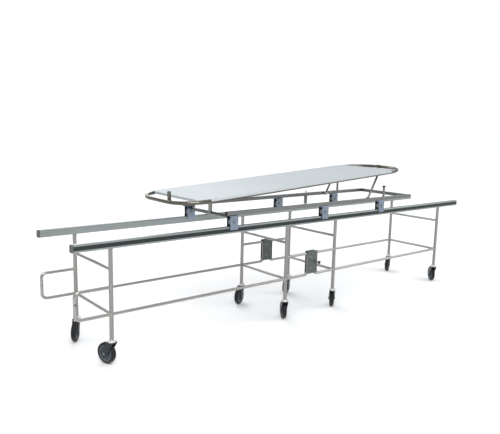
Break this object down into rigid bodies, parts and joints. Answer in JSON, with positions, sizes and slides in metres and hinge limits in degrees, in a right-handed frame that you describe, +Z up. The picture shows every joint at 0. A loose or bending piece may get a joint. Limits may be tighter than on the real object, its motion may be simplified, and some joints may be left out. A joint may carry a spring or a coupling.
{
  "type": "patient transfer trolley",
  "caption": "Docking pair of tubular steel carts whose top rails carry a roller carriage with a tilting sheet-topped stretcher bed, on swivel casters.",
  "frame": {"origin": "on the floor under the middle of the docked pair", "axes": "+X from the left cart to the right cart, +Y to the far side, +Z up"},
  "size_m": [3.649, 0.615, 1.0503],
  "materials": {
    "rail_steel": "brushed along the rail",
    "tube_steel": "satin stainless tube",
    "bed_tube_steel": "satin stainless tube",
    "housing_steel": "polished folded sheet",
    "plated_steel": "bright zinc plate",
    "fork_steel": "dark pressed steel",
    "panel_sheet": "fine brushed sheet",
    "fishplate_paint": "dark grey-green satin paint",
    "bumper_rubber": "matt black",
    "plug_plastic": "moulded black",
    "roller_nylon": "turned natural nylon",
    "tyre_rubber": "matt black rubber",
    "hub_plastic": "moulded blue-grey"
  },
  "bodies": {
    "left_cart": {"left_rails": "rail_steel", "left_bumpers": "bumper_rubber", "left_legs": "tube_steel", "left_brace_tubes": "tube_steel", "left_dock_loops": "tube_steel", "dock_fishplates": "fishplate_paint", "dock_bolts": "plated_steel"},
    "right_cart": {"right_rails": "rail_steel", "right_bumpers": "bumper_rubber", "right_legs": "tube_steel", "right_brace_tubes": "tube_steel", "right_dock_loops": "tube_steel"},
    "near_dock_pin": {"near_dock_pin": "plated_steel"},
    "far_dock_pin": {"far_dock_pin": "plated_steel"},
    "carriage": {"carriage_side_bars": "tube_steel", "bar_end_plugs": "plug_plastic", "carriage_cross_bars": "tube_steel", "roller_housings": "housing_steel", "roller_axles": "plated_steel", "bed_pivot_post": "tube_steel", "bed_hinge_pin": "plated_steel", "bed_rest_posts": "plated_steel", "prop_pivot_bolts": "plated_steel"},
    "carriage_lock_pin": {"carriage_lock_pin": "plated_steel"},
    "prop": {"prop_bail": "tube_steel"},
    "bed": {"bed_frame": "bed_tube_steel", "bed_panel": "panel_sheet", "bed_cross_members": "tube_steel", "bed_hinge_lug": "plated_steel", "pole_sockets": "plated_steel"},
    "left_near_roller": {"left_near_roller": "roller_nylon"},
    "left_far_roller": {"left_far_roller": "roller_nylon"},
    "middle_near_roller": {"middle_near_roller": "roller_nylon"},
    "middle_far_roller": {"middle_far_roller": "roller_nylon"},
    "right_near_roller": {"right_near_roller": "roller_nylon"},
    "right_far_roller": {"right_far_roller": "roller_nylon"},
    "left_near_outer_caster": {"left_near_outer_fork": "fork_steel"},
    "left_near_outer_wheel": {"left_near_outer_tyre": "tyre_rubber", "left_near_outer_hub": "hub_plastic"},
    "left_near_inner_caster": {"left_near_inner_fork": "fork_steel"},
    "left_near_inner_wheel": {"left_near_inner_tyre": "tyre_rubber", "left_near_inner_hub": "hub_plastic"},
    "left_far_outer_caster": {"left_far_outer_fork": "fork_steel"},
    "left_far_outer_wheel": {"left_far_outer_tyre": "tyre_rubber", "left_far_outer_hub": "hub_plastic"},
    "left_far_inner_caster": {"left_far_inner_fork": "fork_steel"},
    "left_far_inner_wheel": {"left_far_inner_tyre": "tyre_rubber", "left_far_inner_hub": "hub_plastic"},
    "right_near_inner_caster": {"right_near_inner_fork": "fork_steel"},
    "right_near_inner_wheel": {"right_near_inner_tyre": "tyre_rubber", "right_near_inner_hub": "hub_plastic"},
    "right_near_outer_caster": {"right_near_outer_fork": "fork_steel"},
    "right_near_outer_wheel": {"right_near_outer_tyre": "tyre_rubber", "right_near_outer_hub": "hub_plastic"},
    "right_far_inner_caster": {"right_far_inner_fork": "fork_steel"},
    "right_far_inner_wheel": {"right_far_inner_tyre": "tyre_rubber", "right_far_inner_hub": "hub_plastic"},
    "right_far_outer_caster": {"right_far_outer_fork": "fork_steel"},
    "right_far_outer_wheel": {"right_far_outer_tyre": "tyre_rubber", "right_far_outer_hub": "hub_plastic"}
  },
  "joints": [
    {"name": "undock", "type": "slide", "parent": "left_cart", "child": "right_cart", "axis": [1, 0, 0], "range_m": [0, 1]},
    {"name": "carriage_roll", "type": "slide", "parent": "left_cart", "child": "carriage", "axis": [1, 0, 0], "range_m": [-1, 1]},
    {"name": "carriage_lock", "type": "slide", "parent": "carriage", "child": "carriage_lock_pin", "axis": [0, 0, -1], "range_m": [0, 0.014]},
    {"name": "bed_tilt", "type": "hinge", "parent": "carriage", "child": "bed", "pos_m": [-0.748, 0, 0.8898], "axis": [0, -1, 0], "range_deg": [-3.8, 1]},
    {"name": "prop_swing", "type": "hinge", "parent": "carriage", "child": "prop", "pos_m": [0.602, 0, 0.8063], "axis": [0, -1, 0], "range_deg": [-50, 20]},
    {"name": "near_dock_lock", "type": "slide", "parent": "left_cart", "child": "near_dock_pin", "axis": [0, 1, 0], "range_m": [0, 0.025]},
    {"name": "far_dock_lock", "type": "slide", "parent": "left_cart", "child": "far_dock_pin", "axis": [0, -1, 0], "range_m": [0, 0.025]},
    {"name": "left_near_roller_turn", "type": "hinge", "parent": "carriage", "child": "left_near_roller", "pos_m": [-0.748, -0.2495, 0.7503], "axis": [0, 1, 0], "continuous": true},
    {"name": "left_far_roller_turn", "type": "hinge", "parent": "carriage", "child": "left_far_roller", "pos_m": [-0.748, 0.2495, 0.7503], "axis": [0, 1, 0], "continuous": true},
    {"name": "middle_near_roller_turn", "type": "hinge", "parent": "carriage", "child": "middle_near_roller", "pos_m": [0.087, -0.2495, 0.7503], "axis": [0, 1, 0], "continuous": true},
    {"name": "middle_far_roller_turn", "type": "hinge", "parent": "carriage", "child": "middle_far_roller", "pos_m": [0.087, 0.2495, 0.7503], "axis": [0, 1, 0], "continuous": true},
    {"name": "right_near_roller_turn", "type": "hinge", "parent": "carriage", "child": "right_near_roller", "pos_m": [0.727, -0.2495, 0.7503], "axis": [0, 1, 0], "continuous": true},
    {"name": "right_far_roller_turn", "type": "hinge", "parent": "carriage", "child": "right_far_roller", "pos_m": [0.727, 0.2495, 0.7503], "axis": [0, 1, 0], "continuous": true},
    {"name": "left_near_outer_swivel", "type": "hinge", "parent": "left_cart", "child": "left_near_outer_caster", "pos_m": [-1.5945, -0.2495, 0.16], "axis": [0, 0, 1], "continuous": true},
    {"name": "left_near_outer_spin", "type": "hinge", "parent": "left_near_outer_caster", "child": "left_near_outer_wheel", "pos_m": [-1.60884, -0.21216, 0.0625], "axis": [-0.9336, -0.3584, 0], "continuous": true},
    {"name": "left_near_inner_swivel", "type": "hinge", "parent": "left_cart", "child": "left_near_inner_caster", "pos_m": [-0.2695, -0.2495, 0.16], "axis": [0, 0, 1], "continuous": true},
    {"name": "left_near_inner_spin", "type": "hinge", "parent": "left_near_inner_caster", "child": "left_near_inner_wheel", "pos_m": [-0.2489, -0.21521, 0.0625], "axis": [-0.8572, 0.515, 0], "continuous": true},
    {"name": "left_far_outer_swivel", "type": "hinge", "parent": "left_cart", "child": "left_far_outer_caster", "pos_m": [-1.5945, 0.2495, 0.16], "axis": [0, 0, 1], "continuous": true},
    {"name": "left_far_outer_spin", "type": "hinge", "parent": "left_far_outer_caster", "child": "left_far_outer_wheel", "pos_m": [-1.61801, 0.21714, 0.0625], "axis": [0.809, -0.5878, 0], "continuous": true},
    {"name": "left_far_inner_swivel", "type": "hinge", "parent": "left_cart", "child": "left_far_inner_caster", "pos_m": [-0.2695, 0.2495, 0.16], "axis": [0, 0, 1], "continuous": true},
    {"name": "left_far_inner_spin", "type": "hinge", "parent": "left_far_inner_caster", "child": "left_far_inner_wheel", "pos_m": [-0.30482, 0.23072, 0.0625], "axis": [0.4695, -0.8829, 0], "continuous": true},
    {"name": "right_near_inner_swivel", "type": "hinge", "parent": "right_cart", "child": "right_near_inner_caster", "pos_m": [0.2195, -0.2495, 0.16], "axis": [0, 0, 1], "continuous": true},
    {"name": "right_near_inner_spin", "type": "hinge", "parent": "right_near_inner_caster", "child": "right_near_inner_wheel", "pos_m": [0.24729, -0.22073, 0.0625], "axis": [-0.7193, 0.6947, 0], "continuous": true},
    {"name": "right_near_outer_swivel", "type": "hinge", "parent": "right_cart", "child": "right_near_outer_caster", "pos_m": [1.5445, -0.2495, 0.16], "axis": [0, 0, 1], "continuous": true},
    {"name": "right_near_outer_spin", "type": "hinge", "parent": "right_near_outer_caster", "child": "right_near_outer_wheel", "pos_m": [1.56913, -0.21798, 0.0625], "axis": [-0.788, 0.6157, 0], "continuous": true},
    {"name": "right_far_inner_swivel", "type": "hinge", "parent": "right_cart", "child": "right_far_inner_caster", "pos_m": [0.2195, 0.2495, 0.16], "axis": [0, 0, 1], "continuous": true},
    {"name": "right_far_inner_spin", "type": "hinge", "parent": "right_far_inner_caster", "child": "right_far_inner_wheel", "pos_m": [0.18486, 0.2295, 0.0625], "axis": [0.5, -0.866, 0], "continuous": true},
    {"name": "right_far_outer_swivel", "type": "hinge", "parent": "right_cart", "child": "right_far_outer_caster", "pos_m": [1.5445, 0.2495, 0.16], "axis": [0, 0, 1], "continuous": true},
    {"name": "right_far_outer_spin", "type": "hinge", "parent": "right_far_outer_caster", "child": "right_far_outer_wheel", "pos_m": [1.50918, 0.23072, 0.0625], "axis": [0.4695, -0.8829, 0], "continuous": true}
  ],
  "couplings": [
    {"joint": "prop_swing", "follows": "bed_tilt", "ratio": 11.609},
    {"joint": "left_near_roller_turn", "follows": "carriage_roll", "rad_per_m": 37.037},
    {"joint": "left_far_roller_turn", "follows": "carriage_roll", "rad_per_m": 37.037},
    {"joint": "middle_near_roller_turn", "follows": "carriage_roll", "rad_per_m": 37.037},
    {"joint": "middle_far_roller_turn", "follows": "carriage_roll", "rad_per_m": 37.037},
    {"joint": "right_near_roller_turn", "follows": "carriage_roll", "rad_per_m": 37.037},
    {"joint": "right_far_roller_turn", "follows": "carriage_roll", "rad_per_m": 37.037}
  ]
}
